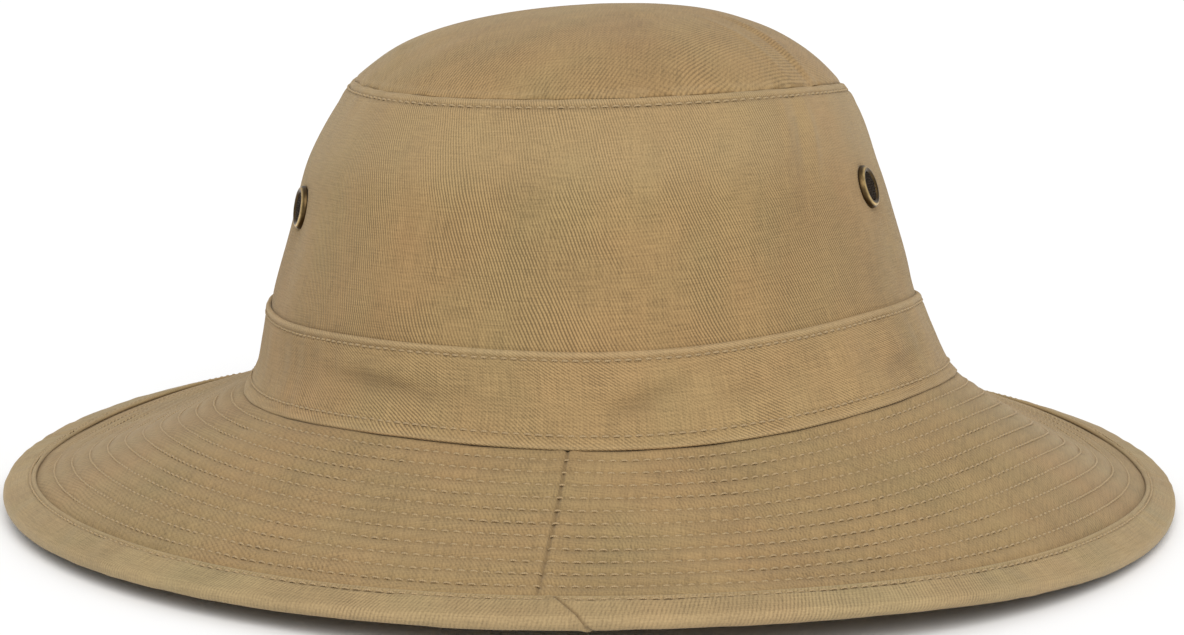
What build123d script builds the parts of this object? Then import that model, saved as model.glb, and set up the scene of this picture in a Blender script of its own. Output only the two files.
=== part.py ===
from build123d import *
import math
import os

# Boonie hat: a soft crown of cotton drill on a stiffened, row-stitched brim.
# Millimetres.  The hat is worked out about its crown seam: the origin is the middle of the
# head opening, +Z runs up the crown, +Y to the front and -X is the wearer's left.
# At the end the whole hat is laid down on its brim.
# Every ply of cloth is a faceted ring: corners of its cross-section, carried round the oval.

# ---- Driving dimensions ----------------------------------------------------------------
HALF_WIDTH = 87.0          # crown wall at the brim seam, half its width, outside
LENGTH_RATIO = 1.21        # every oval of the crown is this much longer than it is wide
WALL_HEIGHT = 73.6         # brim seam to tip seam
TIP_RISE = 19.7            # tip seam to the top of the dome
BRIM_SLANT = 64.5          # brim seam to rim, along the cloth

DRILL = 0.8                # one ply of cotton drill with its backing
STIFFENER = 0.6            # brim interlining
CLEAR = 0.06               # gap between plies that lie on each other

BAND_HEIGHT = 19.8         # outer hat band, folded to two plies
BAND_PLY = 1.1
SWEATBAND_HEIGHT = 32.0
SWEATBAND_PLY = 1.4
SWEATBAND_INSET = 2.4      # the turned-up seam allowances lie behind it
SEAM_MARGIN = 4.2          # brim cloth that reaches in under the wall and the sweatband
TAPE_PLY = 0.5
TIP_TAPE_HEIGHT = 8.0
SIDE_TAPE_TURN = 8.0       # degrees of the oval that a side seam tape covers

BINDING_WIDTH = 8.8        # bias binding seen on each face of the brim
BINDING_PLY = 0.7

EYELET_RADIUS = 5.2
EYELET_HOLE = 3.3
EYELET_WALL = 0.4
EYELET_DOME = 1.5
EYELET_REACH = 2.4         # how far the barrel goes in through the wall
# Each vent's angle round the oval, and its height above the brim seam.
VENTS = {
    "left_back": (201.5, 44.7),
    "left_front": (158.5, 44.7),
    "right_back": (-18.2, 48.3),
    "right_front": (18.2, 48.3),
}

LABEL_TURN = 14.0          # degrees of the oval that the size label covers
LABEL_SPAN = (2.0, 15.0)   # its lower and upper edge
LABEL_PLY = 0.4

# The brim's fall below level, in degrees: a mean and a few slow waves round the hat.
# Each wave is (size, waves per turn, angle of its crest).
BRIM_SLOPE = 22.25
SLOPE_WAVES = [(6.6, 1, -61), (0.8, 2, 16), (1.2, 3, -18), (0.5, 4, -7)]

# How the hat lies on its brim: the crown leans forwards, and a little to the wearer's left.
LEAN_FORWARD = 2.5
LEAN_LEFT = 1.2

STEP = 7.5                 # degrees between the corners of a ring
LEVELS = [0, 4, 10, 20, 32, 45, 56, 64, 70, WALL_HEIGHT]     # rings up the crown wall


# ---- Cloth: a closed cross-section carried round the oval --------------------------------
def facet(corners):
    """The flat face, or the two triangles, between four corners; corners may coincide."""
    points = []
    for corner in corners:
        if all((corner - point).length > 1e-6 for point in points):
            points.append(corner)
    if len(points) < 3:
        return []
    sides = [range(len(points))]
    if len(points) == 4:
        normal = (points[1] - points[0]).cross(points[2] - points[0]).normalized()
        if abs(normal.dot(points[3] - points[0])) > 1e-7:
            # plies that lie on each other are split the same way, along the shorter diagonal
            short = (points[2] - points[0]).length < (points[3] - points[1]).length
            sides = [(0, 1, 2), (0, 2, 3)] if short else [(1, 2, 3), (1, 3, 0)]
    return [Face(Wire.make_polygon([points[i] for i in side])) for side in sides]


def cloth(corner, section, start=0, end=360):
    """A ply from angle start to end, where corner(angle, point) places a point of the section."""
    def column(turn):
        """The section's corners, on the straight facet between two whole steps."""
        part = turn / STEP - math.floor(turn / STEP)
        low = math.radians(turn - part * STEP)
        high = low + math.radians(STEP)
        return [corner(low, point) * (1 - part) + corner(high, point) * part for point in section]

    inside = [i * STEP for i in range(math.floor(start / STEP) + 1, math.ceil(end / STEP))]
    columns = [column(turn) for turn in [start] + inside + [end]]
    closed = end - start == 360
    if closed:
        columns[-1] = columns[0]
    faces = []
    for near, far in zip(columns, columns[1:]):
        for i in range(len(section)):
            faces += facet([near[i - 1], near[i], far[i], far[i - 1]])
    if not closed:
        faces += [Face(Wire.make_polygon(columns[0])), Face(Wire.make_polygon(columns[-1]))]
    solid = Solid(Shell(faces))
    return solid if solid.volume > 0 else Solid(solid.wrapped.Reversed())


# ---- Crown ---------------------------------------------------------------------------
def wall_curve(height):
    """Outside half-width of the crown wall: a flared foot, a straight lean, a round shoulder."""
    foot = 2.5 * math.exp(-height / 4)
    shoulder = 5.8 * (height / WALL_HEIGHT) ** 8
    return 84.5 + foot - 0.256 * height - shoulder


def wall_radius(height):
    """The same, on the straight facet between two levels."""
    above = next(i for i, level in enumerate(LEVELS[1:], 1) if height <= level)
    low, high = LEVELS[above - 1], LEVELS[above]
    part = (height - low) / (high - low)
    return wall_curve(low) * (1 - part) + wall_curve(high) * part


def crown_corner(angle, point):
    radius, height = point
    return Vector(radius * math.cos(angle), radius * LENGTH_RATIO * math.sin(angle), height)


def wall_ply(bottom, top, inset, ply, start=0, end=360):
    """A crown ply between two heights, set in from the wall's outside by inset."""
    heights = [bottom] + [level for level in LEVELS if bottom < level < top] + [top]
    outer = [(wall_radius(height) - inset, height) for height in heights]
    inner = [(radius - ply, height) for radius, height in reversed(outer)]
    return cloth(crown_corner, outer + inner, start, end)


def crown_tip():
    """The domed top of the crown."""
    rim = wall_radius(WALL_HEIGHT)
    dome = [(0, 1), (0.25, 0.96), (0.5, 0.84), (0.7, 0.64), (0.85, 0.4), (0.95, 0.17), (1, 0)]
    outer = [(rim * across, WALL_HEIGHT + CLEAR + TIP_RISE * up) for across, up in dome]
    inner = [((rim - DRILL) * across, WALL_HEIGHT + CLEAR + (TIP_RISE - DRILL) * up) for across, up in dome]
    return cloth(crown_corner, outer + inner[::-1])


# ---- Brim ----------------------------------------------------------------------------
def brim_corner(angle, point):
    """A point of the brim: along is the distance out from the brim seam, down the cloth."""
    along, lift = point
    a, b = HALF_WIDTH, HALF_WIDTH * LENGTH_RATIO
    nx, ny = math.cos(angle) / a, math.sin(angle) / b
    norm = math.hypot(nx, ny)
    waves = sum(size * math.cos(count * (angle - math.radians(crest))) for size, count, crest in SLOPE_WAVES)
    slope = math.radians(BRIM_SLOPE + waves)
    run = max(along, 0) * math.cos(slope) + min(along, 0)
    drop = max(along, 0) * math.sin(slope)
    return Vector(a * math.cos(angle) + run * nx / norm, b * math.sin(angle) + run * ny / norm, lift - drop)


RAW_EDGE = BRIM_SLANT - BINDING_PLY - CLEAR
BINDING_EDGE = BRIM_SLANT - BINDING_WIDTH
BRIM_PLY = DRILL + STIFFENER + DRILL + 2 * CLEAR


def brim_ply(top, ply):
    stations = [-SEAM_MARGIN, 0, BINDING_EDGE, RAW_EDGE]
    upper = [(along, top) for along in stations]
    lower = [(along, top - ply) for along in reversed(stations)]
    return cloth(brim_corner, upper + lower)


def brim_binding():
    """Bias tape folded round the rim."""
    over, under = CLEAR, -BRIM_PLY - CLEAR
    outside = [
        (BINDING_EDGE, over + BINDING_PLY),
        (BRIM_SLANT, over + BINDING_PLY),
        (BRIM_SLANT, under - BINDING_PLY),
        (BINDING_EDGE, under - BINDING_PLY),
    ]
    inside = [(BINDING_EDGE, under), (RAW_EDGE + CLEAR, under), (RAW_EDGE + CLEAR, over), (BINDING_EDGE, over)]
    return cloth(brim_corner, outside + inside)


# ---- Vents: a domed brass eyelet, its screen and the washer inside -----------------------
def wall_plane(angle_deg, height):
    """A plane on the outside of the wall, its Z axis straight out of the cloth."""
    angle = math.radians(angle_deg)
    radius = wall_curve(height)
    lean = (wall_curve(height - 1) - wall_curve(height + 1)) / 2
    nx, ny = math.cos(angle), math.sin(angle) / LENGTH_RATIO
    return Plane(origin=crown_corner(angle, (radius, height)), x_dir=(-ny, nx, 0), z_dir=(nx, ny, lean))


def eyelet():
    """Domed flange outside the cloth and a barrel through it, turned about the hole."""
    barrel = EYELET_HOLE - 0.1
    bore = barrel - EYELET_WALL
    middle = (bore + EYELET_RADIUS) / 2
    section = [
        ThreePointArc((EYELET_RADIUS, 0, CLEAR), (middle, 0, EYELET_DOME), (bore, 0, CLEAR)),
        Polyline((bore, 0, CLEAR), (bore, 0, -EYELET_REACH), (barrel, 0, -EYELET_REACH), (barrel, 0, CLEAR)),
        Line((barrel, 0, CLEAR), (EYELET_RADIUS, 0, CLEAR)),
    ]
    return revolve(make_face(section), axis=Axis.Z)


def vent_screen():
    return Pos(0, 0, -0.6) * Cylinder(EYELET_HOLE - 0.55, 0.4)


def eyelet_washer():
    flat_ring = Circle(EYELET_RADIUS) - Circle(EYELET_HOLE)
    return Pos(0, 0, -EYELET_REACH + 0.4) * extrude(flat_ring, 0.5)


# ---- Assembly ------------------------------------------------------------------------
def crown_wall(start):
    """Half the wall, from the side seam at angle start, with its two vent holes."""
    panel = wall_ply(0, WALL_HEIGHT, 0, DRILL, start, start + 180)
    for angle, height in VENTS.values():
        if start < angle % 360 < start + 180:
            panel -= wall_plane(angle, height) * Cylinder(EYELET_HOLE, 10)
    return panel


def side_seam_tape(angle):
    low, high = SWEATBAND_HEIGHT + 1, WALL_HEIGHT - TIP_TAPE_HEIGHT - 1
    half = SIDE_TAPE_TURN / 2
    return wall_ply(low, high, DRILL + CLEAR, TAPE_PLY, angle - half, angle + half)


def build():
    tape_top = WALL_HEIGHT - CLEAR
    label_inset = SWEATBAND_INSET + SWEATBAND_PLY + 2 * CLEAR
    low, high = LABEL_SPAN
    parts = {
        "crown_tip": crown_tip(),
        "crown_wall_front": crown_wall(0),
        "crown_wall_back": crown_wall(180),
        "tip_seam_tape": wall_ply(tape_top - TIP_TAPE_HEIGHT, tape_top, DRILL + CLEAR, TAPE_PLY),
        "side_seam_tape_left": side_seam_tape(180),
        "side_seam_tape_right": side_seam_tape(0),
        "hat_band": wall_ply(CLEAR, BAND_HEIGHT, -CLEAR - BAND_PLY, BAND_PLY),
        "sweatband": wall_ply(CLEAR, SWEATBAND_HEIGHT, SWEATBAND_INSET, SWEATBAND_PLY),
        "size_label": wall_ply(low, high, label_inset, LABEL_PLY, 270 - LABEL_TURN / 2, 270 + LABEL_TURN / 2),
        "brim_top": brim_ply(-CLEAR, DRILL),
        "brim_interlining": brim_ply(-DRILL - 2 * CLEAR, STIFFENER),
        "brim_under": brim_ply(-DRILL - STIFFENER - 3 * CLEAR, DRILL - CLEAR),
        "brim_binding": brim_binding(),
    }
    for place, (angle, height) in VENTS.items():
        plane = wall_plane(angle, height)
        parts["eyelet_" + place] = plane * eyelet()
        parts["vent_screen_" + place] = plane * vent_screen()
        parts["eyelet_washer_" + place] = plane * eyelet_washer()
    return parts


def laid_down(parts):
    """Lay the hat on its brim, and put the origin under the middle of its outline."""
    lean = Rot(-LEAN_FORWARD, -LEAN_LEFT, 0)
    leaning = {name: lean * part for name, part in parts.items()}
    bounds = leaning["brim_binding"].bounding_box()
    middle = bounds.center()
    drop = Pos(-middle.X, -middle.Y, -bounds.min.Z)
    return {name: drop * part for name, part in leaning.items()}


os.makedirs("parts", exist_ok=True)
for name, part in laid_down(build()).items():
    export_step(Compound(part.solids(), label=name), f"parts/{name}.step")
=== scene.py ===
import math
import bmesh
import bpy
import numpy as np
from mathutils import Matrix, Vector


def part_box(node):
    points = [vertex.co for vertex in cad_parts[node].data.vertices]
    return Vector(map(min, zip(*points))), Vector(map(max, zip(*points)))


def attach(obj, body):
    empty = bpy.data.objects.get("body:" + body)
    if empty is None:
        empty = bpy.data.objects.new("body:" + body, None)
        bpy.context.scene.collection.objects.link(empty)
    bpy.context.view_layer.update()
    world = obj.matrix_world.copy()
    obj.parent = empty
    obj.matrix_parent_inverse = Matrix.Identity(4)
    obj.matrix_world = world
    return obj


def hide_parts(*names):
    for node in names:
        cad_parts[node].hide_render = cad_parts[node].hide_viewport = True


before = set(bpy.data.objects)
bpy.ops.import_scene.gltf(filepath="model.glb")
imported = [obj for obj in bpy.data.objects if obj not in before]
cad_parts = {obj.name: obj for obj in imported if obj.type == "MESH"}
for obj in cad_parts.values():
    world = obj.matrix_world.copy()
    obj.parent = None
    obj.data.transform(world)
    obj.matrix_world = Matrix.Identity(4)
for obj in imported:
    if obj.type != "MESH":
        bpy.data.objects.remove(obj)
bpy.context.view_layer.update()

# Boonie hat.  Shapes are worked out in millimetres about the crown seam, as the CAD does:
# t is the angle round the oval (0 at the wearer's right, 90 at the front), h the height up
# the crown wall, and along the distance out from the brim seam, down the cloth of the brim.

# ---- Sizes shared with the CAD ----
HALF_WIDTH = 87.0
LENGTH_RATIO = 1.21
MEAN_RADIUS = 96                # mm, of the hat's oval as a circle
TIP_RADIUS = 60                 # mm from the middle of the tip to its seam, about
WALL_HEIGHT = 73.6
TIP_RISE = 19.7
BRIM_SLANT = 64.5
DRILL = 0.8
BRIM_PLY = 2.3
BAND_HEIGHT = 19.8
BAND_PLY = 1.1
SWEATBAND_HEIGHT = 32.0
SWEATBAND_INSET = 2.4
SWEATBAND_PLY = 1.4
SEAM_MARGIN = 4.2
BINDING_WIDTH = 8.8
BINDING_PLY = 0.7
BINDING_EDGE = BRIM_SLANT - BINDING_WIDTH
BRIM_SLOPE = 22.8
SLOPE_WAVES = [(7.4, 1, -58), (1.9, 2, 7), (2.0, 3, -17), (1.4, 4, -17)]
VENTS = {
    "left_back": (201.5, 44.7),
    "left_front": (158.5, 44.7),
    "right_back": (-18.2, 48.3),
    "right_front": (18.2, 48.3),
}
LEAN_FORWARD = 2.5
LEAN_LEFT = 1.2

# ---- Soft shape of the cloth: (size in mm, waves per turn, angle of the crest) ----
SEAM_WAVES = [(1.0, 1, 34), (1.7, 2, -2), (0.8, 3, -15), (1.1, 4, -21)]
TIP_WAVES = [(1.1, 1, -119), (1.3, 2, -22)]
RIPPLES = [(0.8, 2, -72), (1.5, 3, -23), (1.3, 4, -42), (1.5, 5, -16)]
# Local swells: (angle, half width in degrees, size), the size in mm for the seam between crown
# and brim, and in degrees for the brim's slope.
SEAM_RISES = [(297, 34, 2.5)]
SLOPE_RISES = [(240, 32, -2.3), (315, 25, 1.2)]
SLUMPED_VENTS = {"left_back": 6.0}   # degrees by which the wall round a vent stands steeper
SLUMP_REACH = 10                     # mm from the vent over which that fades

# ---- Sewing ----
ROWS = 11                       # stitched rows on the brim
ROW_PITCH = BINDING_EDGE / (ROWS + 1)
STITCH = 2.5
STITCH_GAP = 0.2                # share of each stitch that lies under the cloth
THREAD = 0.26                   # thread radius
PUFF = 0.5                      # how far the brim puffs up between two rows
BAND_ROWS = (BAND_HEIGHT - 1.9, 2.2)
SWEATBAND_ROWS = (2.0, SWEATBAND_HEIGHT - 2.2)
TIP_STITCH = WALL_HEIGHT - 1.8
BINDING_STITCH = BINDING_EDGE + 1.3
BRIM_SEAM = 271.0               # angle of the brim's radial seam where it leaves the band
SEAM_SKEW = 0.022               # degrees that it swings for each mm out along the brim
BINDING_JOINT = 270.9           # angle where the binding's slanting joint starts
SIDE_SEAMS = (0.0, 180.0)
VENT_CUT = 3.9                  # radius cut out of the wall round a vent
SCREEN_RADIUS = 3.3
SCREEN_LEVEL = 0.9              # how far the screen sits outside the cloth

UV = "cloth"


# ---- Helpers for the soft shape ----
def waves(t, terms):
    return sum(size * np.cos(count * (t - math.radians(crest))) for size, count, crest in terms)


def smooth(x):
    x = np.clip(x, 0, 1)
    return x * x * (3 - 2 * x)


def bell(x, width):
    return np.exp(-(x / width) ** 2)


def groove(distance, depth, width):
    return -depth * bell(distance, width)


def soft_noise(u, v, seed, turns):
    """Smooth noise in -1..1 that repeats after turns cells of u."""
    table = np.random.default_rng(seed).uniform(-1, 1, (turns, 64))
    iu, iv = np.floor(u).astype(int), np.floor(v).astype(int)
    fu, fv = smooth(u - iu), smooth(v - iv)

    def at(du, dv):
        return table[(iu + du) % turns, (iv + dv) % 64]

    low = at(0, 0) * (1 - fu) + at(1, 0) * fu
    high = at(0, 1) * (1 - fu) + at(1, 1) * fu
    return low * (1 - fv) + high * fv


def cloth_noise(t, v, cell, seed):
    """The same, round the hat: cells are about cell mm each way."""
    turns = max(3, round(2 * math.pi * MEAN_RADIUS / cell))
    return soft_noise((t / (2 * math.pi)) % 1 * turns, v / cell + 20, seed, turns)


def angle_gap(t, degrees):
    """Signed angle from a place on the oval, in radians."""
    return (t - np.radians(degrees) + math.pi) % (2 * math.pi) - math.pi


def arc_length(t, radius=HALF_WIDTH):
    """Distance round an oval from t = 0, for angles from 0 to a whole turn."""
    fine = np.linspace(0, 2 * math.pi, 721)
    step = np.hypot(radius * np.sin(fine), radius * LENGTH_RATIO * np.cos(fine))
    total = np.concatenate([[0], np.cumsum((step[1:] + step[:-1]) / 2 * (fine[1] - fine[0]))])
    whole = np.floor(t / (2 * math.pi))
    return np.interp(t - whole * 2 * math.pi, fine, total) + whole * total[-1]


def evenly(radius, count):
    """Angles of count equal steps round an oval."""
    fine = np.linspace(0, 2 * math.pi, 1441)
    lengths = arc_length(fine[:-1], radius)
    lengths = np.append(lengths, arc_length(np.array([2 * math.pi]), radius))
    return np.interp(np.arange(count) * lengths[-1] / count, lengths, fine)


def refined(t, start, end):
    """Angles t, with more of them from start to end degrees."""
    return np.sort(np.concatenate([t, np.radians(np.arange(start, end, 0.12))]))


def spans(*parts):
    """Values in step over spans that follow on: each part is (start, end, count of values)."""
    runs = [np.linspace(*part) for part in parts]
    return np.concatenate([run[:-1] for run in runs[:-1]] + [runs[-1]])


def joined(*parts):
    """All the points of several grids in one list."""
    return np.concatenate([part.reshape(-1, 3) for part in parts])


def lengths_along(section):
    """Distance along a section from its first point to each point."""
    steps = np.hypot(np.diff(section[:, 0]), np.diff(section[:, 1]))
    return np.concatenate([[0], np.cumsum(steps)])


# ---- Crown ----
def wall_curve(h):
    """Half-width of the wall at height h: flared at its foot and rounded over at the tip."""
    up = np.maximum(h, 0)
    return 84.5 + 2.5 * np.exp(-up / 4) - 0.256 * h - 5.8 * (up / WALL_HEIGHT) ** 8


def rises(t, places):
    """Gentle swells, each round one angle."""
    return sum(size * bell(angle_gap(t, crest), math.radians(half))
               for crest, half, size in places)


def seam_height(t):
    """Height of the seam between crown and brim."""
    return waves(t, SEAM_WAVES) + rises(t, SEAM_RISES)


def crown(t, h, out=0.0):
    """A point out mm outside the crown wall."""
    t, h = np.broadcast_arrays(np.asarray(t, float), np.asarray(h, float))
    hollow = 0.8 * cloth_noise(t, h, 34, 3) + 0.3 * cloth_noise(t, h, 13, 4)
    hollow = hollow * np.sin(math.pi * np.clip(h / WALL_HEIGHT, 0, 1)) ** 0.5
    r = wall_curve(h) + out + hollow
    for vent, degrees in SLUMPED_VENTS.items():
        angle, height = VENTS[vent]
        du, dv = angle_gap(t, angle) * HALF_WIDTH, h - height
        r = r + math.tan(math.radians(degrees)) * dv * np.exp(-(du ** 2 + dv ** 2) / SLUMP_REACH ** 2)
    aside = -2.4 * smooth((h - 4) / 20) * (1 - 0.65 * smooth((h - 52) / 20))
    up = np.clip(h / WALL_HEIGHT, 0, 1)
    z = h + (1 - up) * seam_height(t) + up * waves(t, TIP_WAVES)
    return np.stack([r * np.cos(t) + aside, r * LENGTH_RATIO * np.sin(t), z], -1)


# (x, y, half length, turn from +X, half width, height) of the soft creases in the tip
TIP_CREASES = [
    (42, -22, 16, -38, 2.0, 0.5), (45, -27, 16, -38, 1.8, -0.5), (38, -32, 15, -36, 1.8, 0.35),
    (-44, -22, 10, 100, 2.0, -0.5), (-48, -20, 9, 96, 1.6, 0.45), (-8, 34, 20, 20, 3.0, 0.3),
    (10, 30, 16, -30, 3.0, -0.25),
]


def creased(u, v, creases):
    """Height of a few soft creases at places u, v."""
    total = 0 * u
    for cu, cv, length, turn, width, size in creases:
        c, s = math.cos(math.radians(turn)), math.sin(math.radians(turn))
        du, dv = u - cu, v - cv
        total = total + size * np.exp(-((du * c + dv * s) / length) ** 2 - ((dv * c - du * s) / width) ** 2)
    return total


def dome(t, across, out=0.0):
    """A point of the crown's tip: across runs from 0 at the top to 1 at the seam."""
    t, across = np.broadcast_arrays(np.asarray(t, float), np.asarray(across, float))
    edge = crown(t, np.full_like(t, WALL_HEIGHT), 0.0)
    middle = np.array([-0.6, 0.0, 0.0])
    x = middle[0] + (edge[..., 0] - middle[0]) * across
    y = edge[..., 1] * across
    rise = (TIP_RISE + out) * (1 - 0.62 * across ** 2 - 0.38 * across ** 6)
    tilt = 2.3 * x / TIP_RADIUS * (1 - across ** 2)
    broad = 0.5 * soft_noise(x / 26 + 9, y / 26 + 9, 8, 24)
    lumps = (1 - across ** 4) * (broad + 0.22 * soft_noise(x / 11 + 9, y / 11 + 19, 9, 24))
    ripple = smooth((across - 0.45) / 0.4) * (1 - smooth((across - 0.9) / 0.1))
    lumps = lumps + 0.35 * ripple * cloth_noise(t, across * 3, 17, 12)
    lumps = lumps + creased(x, y, TIP_CREASES)
    z = edge[..., 2] * across ** 2 + (1 - across ** 2) * WALL_HEIGHT + rise + tilt + lumps
    return np.stack([x, y, z], -1)


# ---- Brim ----
def brim(t, along, lift=0.0):
    """A point of the brim's upper face, lift mm above it."""
    t, along, lift = np.broadcast_arrays(*(np.asarray(part, float) for part in (t, along, lift)))
    a, b = HALF_WIDTH, HALF_WIDTH * LENGTH_RATIO
    nx, ny = np.cos(t) / a, np.sin(t) / b
    norm = np.hypot(nx, ny)
    slope = np.radians(BRIM_SLOPE + waves(t, SLOPE_WAVES) + rises(t, SLOPE_RISES))
    out = np.maximum(along, 0)
    part = np.clip(out / BRIM_SLANT, 0, 1)
    run = out * np.cos(slope) + np.minimum(along, 0)
    fall = out * np.sin(slope) - np.sin(math.pi * part) * waves(t, RIPPLES)
    fall = fall - 0.35 * np.sin(math.pi * part) * cloth_noise(t, along, 42, 21)
    x = a * np.cos(t) + (run + lift * np.sin(slope)) * nx / norm
    y = b * np.sin(t) + (run + lift * np.sin(slope)) * ny / norm
    return np.stack([x, y, seam_height(t) + lift * np.cos(slope) - fall], -1)


def quilting(t, along, seed):
    """Height of the cloth between the brim's rows of stitches."""
    row = np.clip(np.round(along / ROW_PITCH), 0, ROWS + 1)
    gap = np.abs(along - row * ROW_PITCH)
    puff = PUFF * (1 - bell(gap, 1.5)) - PUFF
    puff = puff * (0.8 + 0.4 * cloth_noise(t, along, 9, seed)) + 0.12 * cloth_noise(t, along, 18, seed + 9)
    arc = arc_length(t % (2 * math.pi), HALF_WIDTH + 25)
    tugs = 0.05 * np.cos(2 * math.pi * arc / STITCH) * bell(gap, 1.0)
    seam = seam_distance(t, along)
    return puff + tugs + groove(seam, 0.45, 0.4) + 0.25 * bell(np.abs(seam) - 1.6, 1.1)


def seam_distance(t, along):
    """Distance from the brim's radial seam."""
    return angle_gap(t, BRIM_SEAM - SEAM_SKEW * along) * (HALF_WIDTH + along)


# ---- Placing the hat as the CAD lays it ----
def leaned(points):
    """Points turned as the hat leans, about the middle of the crown seam."""
    forward = Matrix.Rotation(math.radians(-LEAN_FORWARD), 3, "X")
    lean = forward @ Matrix.Rotation(math.radians(-LEAN_LEFT), 3, "Y")
    return points @ np.array(lean).T


def crown_origin():
    """Where the middle of the crown seam lies in the frame, in metres."""
    # the lower outside edge of the CAD's band, at its 48 corners
    edge, corners = HALF_WIDTH + 1.46, np.radians(np.arange(0, 360, 7.5))
    base = leaned(np.stack([edge * np.cos(corners), edge * LENGTH_RATIO * np.sin(corners),
                            np.full(48, 0.06)], -1)) / 1000
    low, high = (np.array(corner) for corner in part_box("hat_band"))
    middle = (base.min(0) + base.max(0)) / 2
    return np.array([(low[0] + high[0]) / 2 - middle[0], (low[1] + high[1]) / 2 - middle[1],
                     low[2] - base[:, 2].min()])


ORIGIN = crown_origin()


def placed(points):
    """Crown-seam millimetres to the frame's metres."""
    return leaned(np.asarray(points, float).reshape(-1, 3)) / 1000 + ORIGIN


# ---- Meshes ----
def make_mesh(name, verts, faces, uvs, marks=None):
    """A mesh object from crown-seam points, faces as rows of indices, and cloth coordinates
    for each corner."""
    mesh = bpy.data.meshes.new(name)
    faces = [np.asarray(block, dtype=np.int64) for block in faces if len(block)]
    corners = np.concatenate([block.ravel() for block in faces])
    counts = np.concatenate([np.full(len(block), block.shape[1]) for block in faces])
    verts = placed(verts)
    mesh.vertices.add(len(verts))
    mesh.vertices.foreach_set("co", verts.astype(np.float32).ravel())
    mesh.loops.add(len(corners))
    mesh.loops.foreach_set("vertex_index", corners.astype(np.int32))
    mesh.polygons.add(len(counts))
    mesh.polygons.foreach_set("loop_start", np.concatenate([[0], np.cumsum(counts)[:-1]]).astype(np.int32))
    mesh.polygons.foreach_set("use_smooth", np.full(len(counts), True))
    mesh.update(calc_edges=True)
    layer = mesh.uv_layers.new(name=UV)
    corners_uv = np.concatenate([block.reshape(-1, 2) for block in uvs])
    layer.data.foreach_set("uv", corners_uv.astype(np.float32).ravel())
    for label, values in (marks or {}).items():
        attribute = mesh.attributes.new(label, "FLOAT", "POINT")
        attribute.data.foreach_set("value", np.asarray(values, np.float32).ravel())
    mesh.validate()
    piece = bpy.data.objects.new(name, mesh)
    bpy.context.collection.objects.link(piece)
    return piece


def grid_faces(rows, cols, wrap_cols, wrap_rows=False, base=0, flip=False):
    """Quads of a grid of rows x cols points, and the (row, column) of each corner, not wrapped."""
    r, c = np.meshgrid(np.arange(rows if wrap_rows else rows - 1),
                       np.arange(cols if wrap_cols else cols - 1), indexing="ij")
    r, c = r.ravel(), c.ravel()
    cr = np.stack([r, r, r + 1, r + 1], -1)
    cc = np.stack([c, c + 1, c + 1, c], -1)
    if flip:
        cr, cc = cr[:, ::-1], cc[:, ::-1]
    return base + (cr % rows) * cols + cc % cols, cr, cc


def swept(name, points, t, closed_section=False, flip=False, *, uv, marks):
    """A piece swept round the hat: points (rows, columns, 3) at the angles t of the columns.
    uv(rows, columns) gives the cloth coordinates of grid corners, in mm."""
    rows, cols = points.shape[:2]
    whole = abs(t[-1] - t[0]) > 2 * math.pi * (1 - 1.5 / len(t))
    faces, cr, cc = grid_faces(rows, cols, whole, closed_section, flip=flip)
    return make_mesh(name, points, [faces], [uv(cr, cc)], marks)


def strip_uv(t, across, radius=HALF_WIDTH):
    """Cloth coordinates for a strip sewn round the hat: along it, and across it."""
    arc = np.append(arc_length(t, radius), arc_length(t[:1] + 2 * math.pi, radius))
    side = np.append(across, across[-1] + (across[-1] - across[-2]))
    return lambda cr, cc: np.stack([arc[cc], side[cr]], -1)


def surface_frame(surface, t, v):
    """Tangent round the hat, outward normal and position on a surface(t, v)."""
    here = surface(t, v)
    ahead = surface(t + 1e-3, v) - here
    aside = surface(t, v + 0.05) - here
    ahead /= np.linalg.norm(ahead, axis=-1, keepdims=True)
    normal = np.cross(ahead, aside)
    normal /= np.linalg.norm(normal, axis=-1, keepdims=True)
    return here, ahead, normal


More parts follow.
